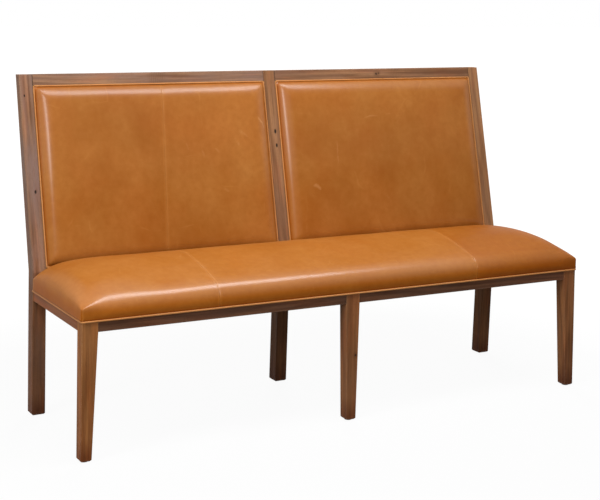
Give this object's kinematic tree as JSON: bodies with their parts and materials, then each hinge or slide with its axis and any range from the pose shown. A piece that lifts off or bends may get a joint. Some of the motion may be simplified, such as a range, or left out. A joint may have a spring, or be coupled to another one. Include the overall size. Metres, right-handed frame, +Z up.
{
  "type": "upholstered banquette bench",
  "caption": "Dining banquette: leather seat and twin back panels with piping in a show-wood frame with tapered front legs and raked one-piece posts.",
  "frame": {"origin": "On the floor under the middle of the bounding box, so halfway along the bench and halfway through its depth.", "axes": "+X runs along the bench to the right of someone who faces its front, +Y points to the back, +Z is up."},
  "size_m": [1.84, 0.636, 1.1],
  "materials": {
    "back_board_left": "bare plywood",
    "back_board_right": "bare plywood",
    "back_cleat_left_inner": "oiled reclaimed hardwood, darker",
    "back_cleat_left_outer": "oiled reclaimed hardwood, darker",
    "back_cleat_right_inner": "oiled reclaimed hardwood, darker",
    "back_cleat_right_outer": "oiled reclaimed hardwood, darker",
    "back_cover_left": "waxed pull-up leather",
    "back_cover_right": "waxed pull-up leather",
    "back_foam_left": "open-cell upholstery foam",
    "back_foam_right": "open-cell upholstery foam",
    "back_welt_left": "leather piping",
    "back_welt_right": "leather piping",
    "block_screws": "zinc-plated steel",
    "centre_block_front_left": "oiled reclaimed hardwood, darker",
    "centre_block_front_right": "oiled reclaimed hardwood, darker",
    "centre_block_rear_left": "oiled reclaimed hardwood, darker",
    "centre_block_rear_right": "oiled reclaimed hardwood, darker",
    "centre_cross_rail": "oiled reclaimed hardwood, darker",
    "cleat_screws": "zinc-plated steel",
    "corner_block_front_left": "oiled reclaimed hardwood, darker",
    "corner_block_front_right": "oiled reclaimed hardwood, darker",
    "corner_block_rear_left": "oiled reclaimed hardwood, darker",
    "corner_block_rear_right": "oiled reclaimed hardwood, darker",
    "dust_cover_left": "black non-woven cloth",
    "dust_cover_right": "black non-woven cloth",
    "front_apron_left": "oiled reclaimed hardwood",
    "front_apron_right": "oiled reclaimed hardwood",
    "front_leg_centre": "oiled reclaimed hardwood",
    "front_leg_left": "oiled reclaimed hardwood",
    "front_leg_right": "oiled reclaimed hardwood",
    "glide_front_leg_centre": "moulded nylon on a steel pin",
    "glide_front_leg_left": "moulded nylon on a steel pin",
    "glide_front_leg_right": "moulded nylon on a steel pin",
    "glide_rear_post_centre": "moulded nylon on a steel pin",
    "glide_rear_post_left": "moulded nylon on a steel pin",
    "glide_rear_post_right": "moulded nylon on a steel pin",
    "lower_back_rail_left": "oiled reclaimed hardwood",
    "lower_back_rail_right": "oiled reclaimed hardwood",
    "outside_back_left": "waxed pull-up leather",
    "outside_back_right": "waxed pull-up leather",
    "rear_apron_left": "oiled reclaimed hardwood",
    "rear_apron_right": "oiled reclaimed hardwood",
    "rear_post_centre": "oiled reclaimed hardwood",
    "rear_post_left": "oiled reclaimed hardwood",
    "rear_post_right": "oiled reclaimed hardwood",
    "seat_board": "bare plywood",
    "seat_cover": "waxed pull-up leather",
    "seat_foam": "open-cell upholstery foam",
    "seat_screws": "zinc-plated steel",
    "seat_welt": "leather piping",
    "side_apron_left": "oiled reclaimed hardwood",
    "side_apron_right": "oiled reclaimed hardwood",
    "top_rail_left": "oiled reclaimed hardwood",
    "top_rail_right": "oiled reclaimed hardwood"
  },
  "bodies": {
    "root": {"back_board_left": "back_board_left", "back_board_right": "back_board_right", "back_cleat_left_inner": "back_cleat_left_inner", "back_cleat_left_outer": "back_cleat_left_outer", "back_cleat_right_inner": "back_cleat_right_inner", "back_cleat_right_outer": "back_cleat_right_outer", "back_cover_left": "back_cover_left", "back_cover_right": "back_cover_right", "back_foam_left": "back_foam_left", "back_foam_right": "back_foam_right", "back_welt_left": "back_welt_left", "back_welt_right": "back_welt_right", "block_screws": "block_screws", "centre_block_front_left": "centre_block_front_left", "centre_block_front_right": "centre_block_front_right", "centre_block_rear_left": "centre_block_rear_left", "centre_block_rear_right": "centre_block_rear_right", "centre_cross_rail": "centre_cross_rail", "cleat_screws": "cleat_screws", "corner_block_front_left": "corner_block_front_left", "corner_block_front_right": "corner_block_front_right", "corner_block_rear_left": "corner_block_rear_left", "corner_block_rear_right": "corner_block_rear_right", "dust_cover_left": "dust_cover_left", "dust_cover_right": "dust_cover_right", "front_apron_left": "front_apron_left", "front_apron_right": "front_apron_right", "front_leg_centre": "front_leg_centre", "front_leg_left": "front_leg_left", "front_leg_right": "front_leg_right", "glide_front_leg_centre": "glide_front_leg_centre", "glide_front_leg_left": "glide_front_leg_left", "glide_front_leg_right": "glide_front_leg_right", "glide_rear_post_centre": "glide_rear_post_centre", "glide_rear_post_left": "glide_rear_post_left", "glide_rear_post_right": "glide_rear_post_right", "lower_back_rail_left": "lower_back_rail_left", "lower_back_rail_right": "lower_back_rail_right", "outside_back_left": "outside_back_left", "outside_back_right": "outside_back_right", "rear_apron_left": "rear_apron_left", "rear_apron_right": "rear_apron_right", "rear_post_centre": "rear_post_centre", "rear_post_left": "rear_post_left", "rear_post_right": "rear_post_right", "seat_board": "seat_board", "seat_cover": "seat_cover", "seat_foam": "seat_foam", "seat_screws": "seat_screws", "seat_welt": "seat_welt", "side_apron_left": "side_apron_left", "side_apron_right": "side_apron_right", "top_rail_left": "top_rail_left", "top_rail_right": "top_rail_right"}
  },
  "joints": []
}
